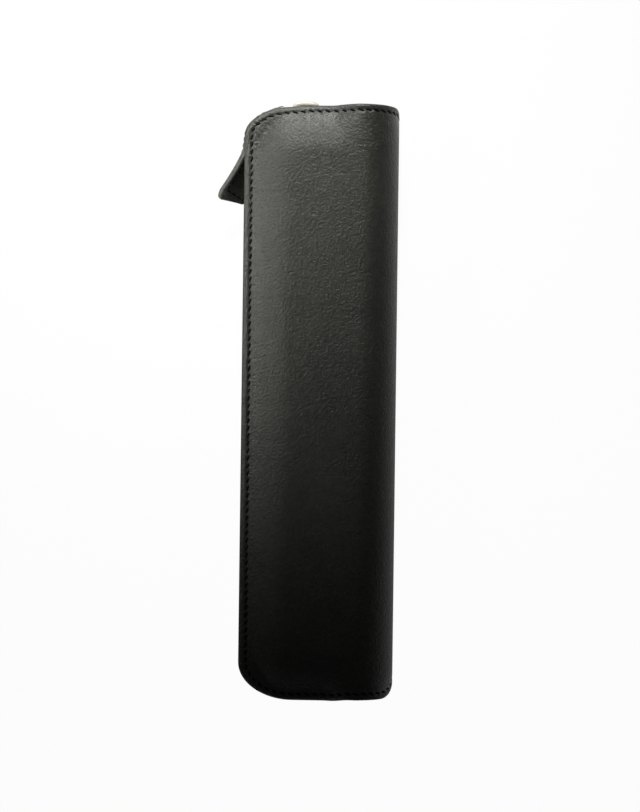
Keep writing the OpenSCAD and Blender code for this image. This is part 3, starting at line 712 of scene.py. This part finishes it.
# Stitches
def stitch_tree():
    """Geometry nodes: one arched thread on each point, turned by the point's
    directions along the seam and out of the surface"""
    tree = bpy.data.node_groups.new("arched_stitches", "GeometryNodeTree")
    for name, kind in (("Points", "Geometry"), ("Length", "Float"), ("Thickness", "Float"),
                       ("Arch", "Float"), ("Sink", "Float"), ("Thread", "Material")):
        tree.interface.new_socket(name, in_out="INPUT", socket_type="NodeSocket" + kind)
    tree.interface.new_socket("Stitches", in_out="OUTPUT", socket_type="NodeSocketGeometry")
    g = Nodes(tree)
    given = tree.nodes.new("NodeGroupInput").outputs
    points, length, thickness, arch, sink, material = (
        Value(g, given[name])
        for name in ("Points", "Length", "Thickness", "Arch", "Sink", "Thread"))

    half = length * 0.5
    under = sink * -1.0
    start = g.node("ShaderNodeCombineXYZ", None, {"X": half * -1.0, "Z": under})
    top = g.node("ShaderNodeCombineXYZ", None, {"Z": arch})
    end = g.node("ShaderNodeCombineXYZ", None, {"X": half, "Z": under})
    bow = g.node("GeometryNodeCurveQuadraticBezier", None, {
        "Resolution": 6, "Start": start, "Middle": top, "End": end})
    ring = g.node("GeometryNodeCurvePrimitiveCircle", None, {
        "Resolution": 7, "Radius": thickness * 0.5}, out="Curve")
    tube = g.node("GeometryNodeCurveToMesh", None, {
        "Curve": bow, "Profile Curve": ring, "Fill Caps": True})
    along, outward = (
        g.node("GeometryNodeInputNamedAttribute", {"data_type": "FLOAT_VECTOR"}, {"Name": name})
        for name in ("along", "out"))
    upright = g.node("FunctionNodeAlignRotationToVector", {"axis": "Z"}, {"Vector": outward})
    turned = g.node("FunctionNodeAlignRotationToVector", {"axis": "X", "pivot_axis": "Z"},
                    {"Rotation": upright, "Vector": along})
    spread = g.node("GeometryNodeInstanceOnPoints", None, {
        "Points": points, "Instance": tube, "Rotation": turned})
    real = g.node("GeometryNodeRealizeInstances", None, {"Geometry": spread})
    soft = g.node("GeometryNodeSetShadeSmooth", None, {"Geometry": real})
    threads = g.node("GeometryNodeSetMaterial", None, {"Geometry": soft, "Material": material})
    g.put(tree.nodes.new("NodeGroupOutput").inputs[0], threads)
    return tree


STITCHES = stitch_tree()


def sew(name, places, along, out, length=1.7, thickness=0.48, arch=0.2, sink=0.22):
    """An object of stitches at the places, in millimetres"""
    mesh = bpy.data.meshes.new(name)
    mesh.from_pydata([tuple(p) for p in np.asarray(places) * MM], [], [])
    for key, values in (("along", along), ("out", out)):
        attribute = mesh.attributes.new(key, "FLOAT_VECTOR", "POINT")
        attribute.data.foreach_set("vector", np.asarray(values, np.float32).ravel())
    made = in_scene(name, mesh)
    modifier = made.modifiers.new("stitches", "NODES")
    modifier.node_group = STITCHES
    wanted = {"Length": length * MM, "Thickness": thickness * MM, "Arch": arch * MM,
              "Sink": sink * MM, "Thread": THREAD}
    for item in STITCHES.interface.items_tree:
        if item.name in wanted:
            modifier[item.identifier] = wanted[item.name]
    applied(made)
    return made


def surface_frame(q, y, side):
    """Points of the outer face, its directions across and along Y, and outwards"""
    def at(qq, yy):
        edge, seam, _ = seam_facts(qq, yy)
        return skin(qq, yy, leather_relief(qq, yy, edge, seam, side))
    e = 0.3
    across = at(q + e, y) - at(q - e, y)
    length = at(q, y + e) - at(q, y - e)
    return at(q, y), across, length, unit(np.cross(across, length))


# Each stitch leans off the seam's line. On the back, the stitches this near to the
# table are pressed into the leather and left out.
STITCH_LEAN, PRESSED_STITCH = math.radians(-21), 0.35


def make_seams():
    marks = np.arange(int(RUN[-1])) + 0.5
    place = at_marks(marks, RUN, SEAM)
    ahead = unit(at_marks(marks + 0.1, RUN, SEAM) - at_marks(marks - 0.1, RUN, SEAM))
    c, s = math.cos(STITCH_LEAN), math.sin(STITCH_LEAN)
    slant = np.stack([ahead[:, 0] * c - ahead[:, 1] * s, ahead[:, 0] * s + ahead[:, 1] * c], 1)
    for side in ("front", "back"):
        point, across, length, out = surface_frame(place[:, 0], place[:, 1], side)
        along = unit(unit(across) * slant[:, :1] + unit(length) * slant[:, 1:])
        keep = np.full(len(point), True)
        if side == "back":
            keep = point[:, 2] < CASE_T - PRESSED_STITCH
            point = mirrored(point)
            along, out = along * [1, 1, -1], out * [1, 1, -1]
        piece = sew("seam_" + side, point[keep], along[keep], out[keep])
        bend_over_fold(piece, side)
        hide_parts(side + "_stitching", "spine_stitching")


# Tape
def zip_line(inset, to_x):
    """The zip's path at an inset, from the top end round to the far end"""
    around = 26
    points = [(to_x - k, HALF - inset) for k in np.arange(0, to_x - LEFT - ZIP_CORNER[0], 1.0)]
    for (w, h), side, start in ((ZIP_CORNER, 1, 90), (END_CORNER, -1, 180)):
        for k in range(around + 1):
            a = math.radians(start + 90 * k / around)
            points.append((LEFT + w + (w - inset) * math.cos(a),
                           side * (HALF - h) + (h - inset) * math.sin(a)))
        if side > 0:
            points += [(LEFT + inset, y)
                       for y in np.arange(HALF - h - 1, -HALF + END_CORNER[1], -1.0)]
    points += [(LEFT + END_CORNER[0] + k, -HALF + inset)
               for k in np.arange(1, to_x - LEFT - END_CORNER[0] + 0.01, 1.0)]
    return np.array(points)


# Room left between the upright tape and what it stands under, and round the flat tape
WEB_CLEAR, FLANGE_CLEAR = 0.05, 0.03
# The upright tape's section: parts of its height and the half thickness there
WEB_PARTS = np.array([0.0, 0.06, 0.2, 0.5, 0.8, 1.0])
WEB_HALF_THK = np.array([0.2, 0.36, 0.36, 0.25, 0.25, 0.25])


def web_top(x):
    """Height over the middle plane to which the upright tape reaches"""
    under = cover_height(np.minimum(x, SPINE_X), HALF) - COVER - WEB_CLEAR
    room = (SPINE_R - FLOOR_Z - 0.5) ** 2 - np.maximum(0, x - SPINE_X) ** 2
    border = BORDER_H - COVER - WEB_CLEAR
    return np.where(x > DIP_X, np.minimum(under, np.sqrt(room)), border)


def upright_tape():
    """Points, faces and the yarns' two coordinates of the tape that carries the teeth"""
    line = zip_line(TAPE_INSET, WEB_END_X)
    z = MID + TAPE_EDGE + WEB_PARTS[None] * (web_top(line[:, 0]) - TAPE_EDGE)[:, None]
    step = unit(np.gradient(line, axis=0))
    across = np.stack([step[:, 1], -step[:, 0]], 1)

    def face(way):
        flat = line[:, None] + way * across[:, None] * WEB_HALF_THK[None, :, None]
        return np.concatenate([flat, z[..., None]], -1)

    points, faces = slab(face(1.0), face(-1.0))
    run = np.tile(np.repeat(length_along(line), len(WEB_PARTS)), 2)
    return points, faces, run, np.tile((z - MID).ravel(), 2)


def flat_tape():
    """The same for the flange that is sewn in under the lining"""
    low = MID + LINING_BORDER_H
    lines = [zip_line(inset, TAPE_END_X) for inset in (TAPE_INSET, TAPE_REACH)]
    points, faces = slab(*(
        np.stack([np.column_stack([line, np.full(len(line), level)]) for line in lines], 1)
        for level in (low + TAPE_THK - FLANGE_CLEAR, low + FLANGE_CLEAR)))
    return points, faces, points[:, 0] + points[:, 1], points[:, 1] - points[:, 0]


def make_tape():
    points, faces, run, rise = upright_tape()
    more, more_faces, more_run, more_rise = flat_tape()
    n = len(points)
    points = np.concatenate([points, more])
    faces = faces + [tuple(v + n for v in f) for f in more_faces]
    facts = {"run": np.concatenate([run, more_run]), "rise": np.concatenate([rise, more_rise])}
    for side in ("front", "back"):
        if side == "back":
            points, faces = other_half(points, faces)
        piece = mesh_object("tape_" + side, points, faces, TAPE, facts, sharp=50)
        fix_normals(piece)
        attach(piece, side + "_half")
        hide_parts(side + "_tape")


def fix_normals(obj):
    bm = bmesh.new()
    bm.from_mesh(obj.data)
    bmesh.ops.recalc_face_normals(bm, faces=bm.faces)
    bm.to_mesh(obj.data)
    bm.free()


# Metal and other small parts, rounded from their CAD nodes
ROUNDED_FROM = 28
SHADED_APART_FROM = 40


def softened(node, name, body, material, width, segments=2):
    """A copy of a CAD node with its outer edges rounded by width, where they turn by
    more degrees than ROUNDED_FROM"""
    bm = bmesh.new()
    bm.from_mesh(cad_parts[node].data)
    bmesh.ops.remove_doubles(bm, verts=bm.verts, dist=1e-6)
    bmesh.ops.dissolve_limit(bm, angle_limit=math.radians(1.0), verts=bm.verts, edges=bm.edges)
    weight = bm.edges.layers.float.new("bevel_weight_edge")
    for edge in bm.edges:
        edge[weight] = float(edge.calc_face_angle_signed(0.0) > math.radians(ROUNDED_FROM))
    mesh = bpy.data.meshes.new(name)
    bm.to_mesh(mesh)
    bm.free()
    made = in_scene(name, mesh)
    bevel = made.modifiers.new("edges", "BEVEL")
    bevel.width = width * MM
    bevel.segments = segments
    bevel.limit_method = "WEIGHT"
    bevel.use_clamp_overlap = True
    applied(made)
    made.data.materials.clear()
    made.data.materials.append(material)
    made.data.shade_smooth()
    made.data.set_sharp_from_angle(angle=math.radians(SHADED_APART_FROM))
    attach(made, body)
    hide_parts(node)


def make_small_parts():
    softened("slider_body", "slider_plates", "slider", NICKEL, 0.16, 3)
    softened("slider_crown", "crown", "slider", NICKEL, 0.5, 4)
    for side in ("front", "back"):
        half = side + "_half"
        softened(side + "_teeth", "teeth_" + side, half, TEETH, 0.1, 1)
        softened(side + "_top_stop", "stop_" + side, half, TEETH, 0.15)
        softened(side + "_zip_ends", "tape_ends_" + side, half, TRIM, 0.3, 3)
    softened("bottom_stop", "stop_box", "back_half", TEETH, 0.15)
    softened("pen_loop", "loop_band", "back_half", ELASTIC, 0.2)
    for node in ("back_padding", "spine_padding", "front_padding"):
        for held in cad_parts[node].material_slots:
            held.material = BOARD


LOOP_D, LOOP_THK, LOOP_FOOT, LOOP_Y = 12.6, 0.9, 2.2, 38.0
LOOP_X = SPINE_X - LOOP_D / 2 - LOOP_THK - LOOP_FOOT
LOOP_STITCHES, LOOP_PITCH = 6, 2.2


def make_loop_seam():
    out = LOOP_D / 2 + LOOP_THK + LOOP_FOOT / 2
    ys = LOOP_Y + (np.arange(LOOP_STITCHES) - (LOOP_STITCHES - 1) / 2) * LOOP_PITCH
    places = [(LOOP_X + side * out, y, FLOOR_Z + LOOP_THK + 0.02)
              for side in (-1, 1) for y in ys]
    n = len(places)
    piece = sew("loop_seam", places, [(0, 1, 0)] * n, [(0, 0, 1)] * n, arch=0.3)
    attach(piece, "back_half")
    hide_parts("pen_loop_stitching")


# The pull
TOOTH_THK, PLATE_GAP, PLATE_THK, EYE_H = 1.8, 0.15, 0.8, 1.4
SLIDER_X = LEFT + 17
PLATE_Y = HALF - TAPE_INSET + TOOTH_THK / 2 + PLATE_GAP + PLATE_THK
WIRE_D, RING_LEN, RING_CROWN_W, RING_TAB_W, RING_CORNER_R = 0.8, 5.9, 3.2, 6.8, 1.1
CROWN_BAR = np.array([SLIDER_X - 1, PLATE_Y + EYE_H / 2 + 0.02])
TAB_BAR = np.array([CROWN_BAR[0] - RING_LEN, PLATE_Y + 0.3])
TAB_ROOT_W, TAB_TIP_W, TAB_ROOT_THK, TAB_THK = 6.2, 8.5, 1.5, 2.2
# The tab's middle line, from the case's corner: x, y, z and lean in degrees
TAB_ROUTE = np.array([LEFT, HALF, MID, 0]) + np.array([
    [TAB_BAR[0] - LEFT, TAB_BAR[1] - HALF, 0, 0],
    [7.5, -1.05, -0.4, 0], [4.8, -2.2, -1, 0], [2.7, -3.75, -1.5, 0],
    [0.9, -6.2, -1.8, 0], [0.35, -9.1, -2, 0], [0.25, -12.3, -2.05, 8],
    [-0.5, -15.5, -2, 19], [-1.4, -18.65, -2.1, 32], [-2.6, -21.7, -2.6, 44],
    [-3.8, -24.1, -3.7, 54]])
# Past the route's end, how far each section of the rounded tip lies ahead and how much
# narrower and thinner it is
TAB_TIP = ((0.4, 0.05, 0), (0.8, 0.25, 0), (1.15, 0.6, 0), (1.4, 1.0, 0.1),
           (1.58, 1.5, 0.35), (1.66, 2.1, 0.8), (1.7, 2.8, 1.5))
TAB_EDGE_R, TAB_SEAM_IN, TAB_PITCH = 0.6, 1.15, 1.9
# The line between the tab's two layers: its half width and how deep its sides and its
# middle lie
LINE_HALF_W, LINE_LIP, LINE_DEPTH = 0.12, 0.02, 0.05


def make_ring():
    near, far = (RING_CROWN_W + WIRE_D) / 2, (RING_TAB_W + WIRE_D) / 2
    corners = np.array([[*CROWN_BAR, MID - near], [*CROWN_BAR, MID + near],
                        [*TAB_BAR, MID + far], [*TAB_BAR, MID - far]])
    path = []
    for k, corner in enumerate(corners):
        a = unit(corners[k - 1] - corner) * RING_CORNER_R
        b = unit(corners[(k + 1) % 4] - corner) * RING_CORNER_R
        for t in np.linspace(0, 1, 9):
            path.append(corner + a * (1 - t) ** 2 + b * t ** 2)
    path = np.array(path)
    ahead = unit(np.roll(path, -1, 0) - np.roll(path, 1, 0))
    flat = unit(np.cross(corners[1] - corners[0], corners[2] - corners[1]))
    other = unit(np.cross(ahead, flat[None]))
    turns = np.linspace(0, 2 * math.pi, 17)[:-1]
    rings = (path[:, None] + WIRE_D / 2 * (np.cos(turns)[None, :, None] * other[:, None]
             + np.sin(turns)[None, :, None] * flat[None, None]))
    faces = tube_faces(len(path), len(turns), closed=True)
    piece = mesh_object("ring_wire", rings.reshape(-1, 3), faces, NICKEL)
    fix_normals(piece)
    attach(piece, "ring")
    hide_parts("pull_ring")


def tab_sections():
    """Middle points, directions and sizes of the tab's cross-sections"""
    n = len(TAB_ROUTE)
    ends = np.concatenate([[TAB_ROUTE[0]], TAB_ROUTE, [TAB_ROUTE[-1]]])
    ts = np.linspace(0, n - 1, 8 * (n - 1) + 1)
    k = np.minimum(ts.astype(int), n - 2)
    t = (ts - k)[:, None]
    a, b, c, d = (ends[k + j] for j in range(4))
    line = 0.5 * (2 * b + (c - a) * t + (2 * a - 5 * b + 4 * c - d) * t ** 2
                  + (3 * b - a - 3 * c + d) * t ** 3)
    flat = unit(np.gradient(line[:, :2], axis=0))
    out = np.stack([flat[:, 1], -flat[:, 0]], 1)
    lean = np.radians(line[:, 3])[:, None]
    up = np.concatenate([out * np.sin(lean), np.cos(lean)], 1)
    face = np.concatenate([out * np.cos(lean), -np.sin(lean)], 1)
    width = TAB_ROOT_W + (TAB_TIP_W - TAB_ROOT_W) * ts / (n - 1)
    thick = TAB_ROOT_THK + (TAB_THK - TAB_ROOT_THK) * (ts / (n - 1)) ** 3
    # the strip is thicker where it starts to part round the bar
    thick += 0.32 * np.clip(1 - ts, 0, 1)
    return line[:, :3], flat, up, face, width, thick


def tab_rows():
    """The tab's cross-sections from the fold over the bar to the rounded tip: middle,
    directions across and through, width, thickness and bow, and the way ahead"""
    centre, flat, up, face, width, thick = tab_sections()
    rows = []
    # the fold over the bar, rounded over 1 mm before the first section
    for s in np.linspace(0.94, 0.15, 7):
        rows.append((centre[0] - np.array([*flat[0], 0]) * s, up[0], face[0],
                     width[0] - 0.2 * s, thick[0] * math.sqrt(1 - s * s), 0.0))
    rows += [(centre[i], up[i], face[i], width[i], thick[i], 0.0) for i in range(len(centre))]
    ahead = np.array([*flat[-1], -0.1])
    for s, narrow, thin in TAB_TIP:
        rows.append((centre[-1] + ahead * s, up[-1], face[-1], width[-1] - narrow,
                     thick[-1] - thin, s))
    return rows, ahead


def tab_outline(width, thick):
    """Places across and through, round one cross-section: two layers with rounded
    corners and a fine line between them"""
    r = min(TAB_EDGE_R, thick * 0.45)
    outline = []
    for across, through, start in ((1, 1, 0), (-1, 1, 90), (-1, -1, 180), (1, -1, 270)):
        for a in (math.radians(start + 90 * k / 5) for k in range(6)):
            outline.append((across * (width / 2 - r) + r * math.cos(a),
                            through * (thick / 2 - r) + r * math.sin(a)))
        if start in (90, 270):
            lip = across * (width / 2 - LINE_LIP)
            beside = LINE_HALF_W * through * thick / TAB_THK
            outline += [(lip, beside), (across * (width / 2 - LINE_DEPTH), 0.0), (lip, -beside)]
        else:
            outline += [(across * width / 4, through * thick / 2),
                        (-across * width / 4, through * thick / 2)]
    return outline


def make_tab():
    rows, ahead = tab_rows()
    points = [middle + across * u + through * v + ahead * bow * u / width
              for middle, across, through, width, thick, bow in rows
              for u, v in tab_outline(width, thick)]
    n = len(rows)
    m = len(points) // n
    faces = tube_faces(n, m, closed=False)
    faces += [tuple(range(m)), tuple((n - 1) * m + j for j in reversed(range(m)))]
    piece = mesh_object("tab_leather", points, faces, TAB_LEATHER_PAINTED_LIGHT, sharp=60)
    fix_normals(piece)
    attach(piece, "tab")
    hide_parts("pull_tab")


def make_tab_seam():
    """A seam on both faces: down one side, across near the tip and back up"""
    centre, _, up, face, width, thick = tab_sections()
    first, last = 12, len(centre) - 3
    # a section and a place across it, from 1 on one side to -1 on the other
    route = ([(i, 1) for i in range(first, last + 1)]
             + [(last, across) for across in (0.7, 0.35, 0, -0.35, -0.7)]
             + [(i, -1) for i in range(last, first - 1, -1)])
    places, alongs, outs = [], [], []
    for way in (-1, 1):
        line = np.array([centre[i] + up[i] * across * (width[i] / 2 - TAB_SEAM_IN)
                         + face[i] * way * thick[i] / 2 for i, across in route])
        normal = np.array([face[i] * way for i, across in route])
        run = length_along(line)
        marks = np.arange(1.0, run[-1] - 0.5, TAB_PITCH)
        places.append(at_marks(marks, run, line))
        alongs.append(unit(at_marks(marks + 0.3, run, line) - at_marks(marks - 0.3, run, line)))
        outs.append(unit(at_marks(marks, run, normal)))
    piece = sew("tab_seam", np.concatenate(places), np.concatenate(alongs),
                np.concatenate(outs), length=1.5, thickness=0.4, sink=0.16)
    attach(piece, "tab")
    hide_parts("pull_tab_stitching")


# Floor, light and camera
FLOOR_REACH = 3.0
# How much of the floor's look is its own white, and how much of that glossy rays get
WHITE_SHARE, GLOSSY_SHARE = 0.97, 0.35
WORLD_LIGHT = 0.03
LAMPS = (
    # name, place, aim, width, height, watts, spread in degrees, colour
    ("key", (-0.059, 0.494, 0.332), (-0.035, 0.2, 0.02), 0.14, 0.112, 0.33, 30.5,
     (1.0, 1.0, 0.93)),
    ("side", (-0.286, 0.091, 0.199), (-0.059, 0.06, 0.02), 0.12, 0.096, 0.038, 27,
     (1.0, 1.0, 0.93)),
    ("rim", (0.6, 0.017, 0.08), (0.005, 0.0, 0.01), 0.2, 0.2, 0.03, 180, (1.0, 1.0, 0.97)),
)
# The camera looks straight down. Heights and places in millimetres, the turn in degrees.
PICTURE_H, SENSOR_H = 812, 36.0
CAMERA_FROM_TOP = 428.0
MM_PER_PX = 0.2760
CAMERA_X, CAMERA_Y, CAMERA_TURN = 0.265, -1.235, 0.73


def make_floor():
    mesh = bpy.data.meshes.new("table_top")
    corners = [(FLOOR_REACH * x, FLOOR_REACH * y, 0)
               for x, y in ((-1, -1), (1, -1), (1, 1), (-1, 1))]
    mesh.from_pydata(corners, [], [(0, 1, 2, 3)])
    floor = in_scene("table_top", mesh)
    f = Finish("white_table")
    f.feed("Base Color", grey(0.9))
    f.feed("Roughness", 0.9)
    f.feed("Specular IOR Level", 0.0)
    camera, glossy, through = (
        f.node("ShaderNodeLightPath", out="Is " + ray + " Ray")
        for ray in ("Camera", "Glossy", "Transmission"))
    seen = f.math("MAXIMUM", camera, f.math("MAXIMUM", glossy * GLOSSY_SHARE, through))
    glow = f.node("ShaderNodeEmission", None, {"Strength": 1.0})
    f.put(f.out.inputs[0], f.node("ShaderNodeMixShader", None, {
        0: seen * WHITE_SHARE, 1: Value(f, f.shader.outputs[0]), 2: glow}))
    mesh.materials.append(f.material)


def make_world():
    world = bpy.data.worlds.new("studio")
    bpy.context.scene.world = world
    world.use_nodes = True
    world.node_tree.nodes.clear()
    w = Nodes(world.node_tree)
    seen = w.node("ShaderNodeLightPath", out="Is Camera Ray")
    dim, white = (w.node("ShaderNodeBackground", None, {"Color": grey(1), "Strength": strength})
                  for strength in (WORLD_LIGHT, 1.0))
    w.put(w.tree.nodes.new("ShaderNodeOutputWorld").inputs[0],
          w.node("ShaderNodeMixShader", None, {0: seen, 1: dim, 2: white}))


def make_lamps():
    for name, place, aim, width, height, watts, spread, colour in LAMPS:
        data = bpy.data.lights.new(name, "AREA")
        data.shape = "RECTANGLE"
        data.size, data.size_y = width, height
        data.energy = watts
        data.spread = math.radians(spread)
        data.color = colour
        lamp = in_scene(name, data)
        lamp.location = place
        lamp.rotation_euler = (Vector(place) - Vector(aim)).to_track_quat("Z", "Y").to_euler()


def make_camera():
    data = bpy.data.cameras.new("camera")
    data.sensor_fit = "VERTICAL"
    data.sensor_height = SENSOR_H
    data.lens = SENSOR_H * CAMERA_FROM_TOP / (PICTURE_H * MM_PER_PX)
    data.clip_start = 0.01
    camera = in_scene("camera", data)
    camera.location = (CAMERA_X * MM, CAMERA_Y * MM, (CAMERA_FROM_TOP + CASE_T) * MM)
    camera.rotation_euler = (0, 0, math.radians(CAMERA_TURN))
    bpy.context.scene.camera = camera


make_leather()
make_lining()
make_seams()
make_tape()
make_small_parts()
make_loop_seam()
make_ring()
make_tab()
make_tab_seam()
make_floor()
make_world()
make_lamps()
make_camera()
bpy.context.scene.view_settings.view_transform = "Standard"
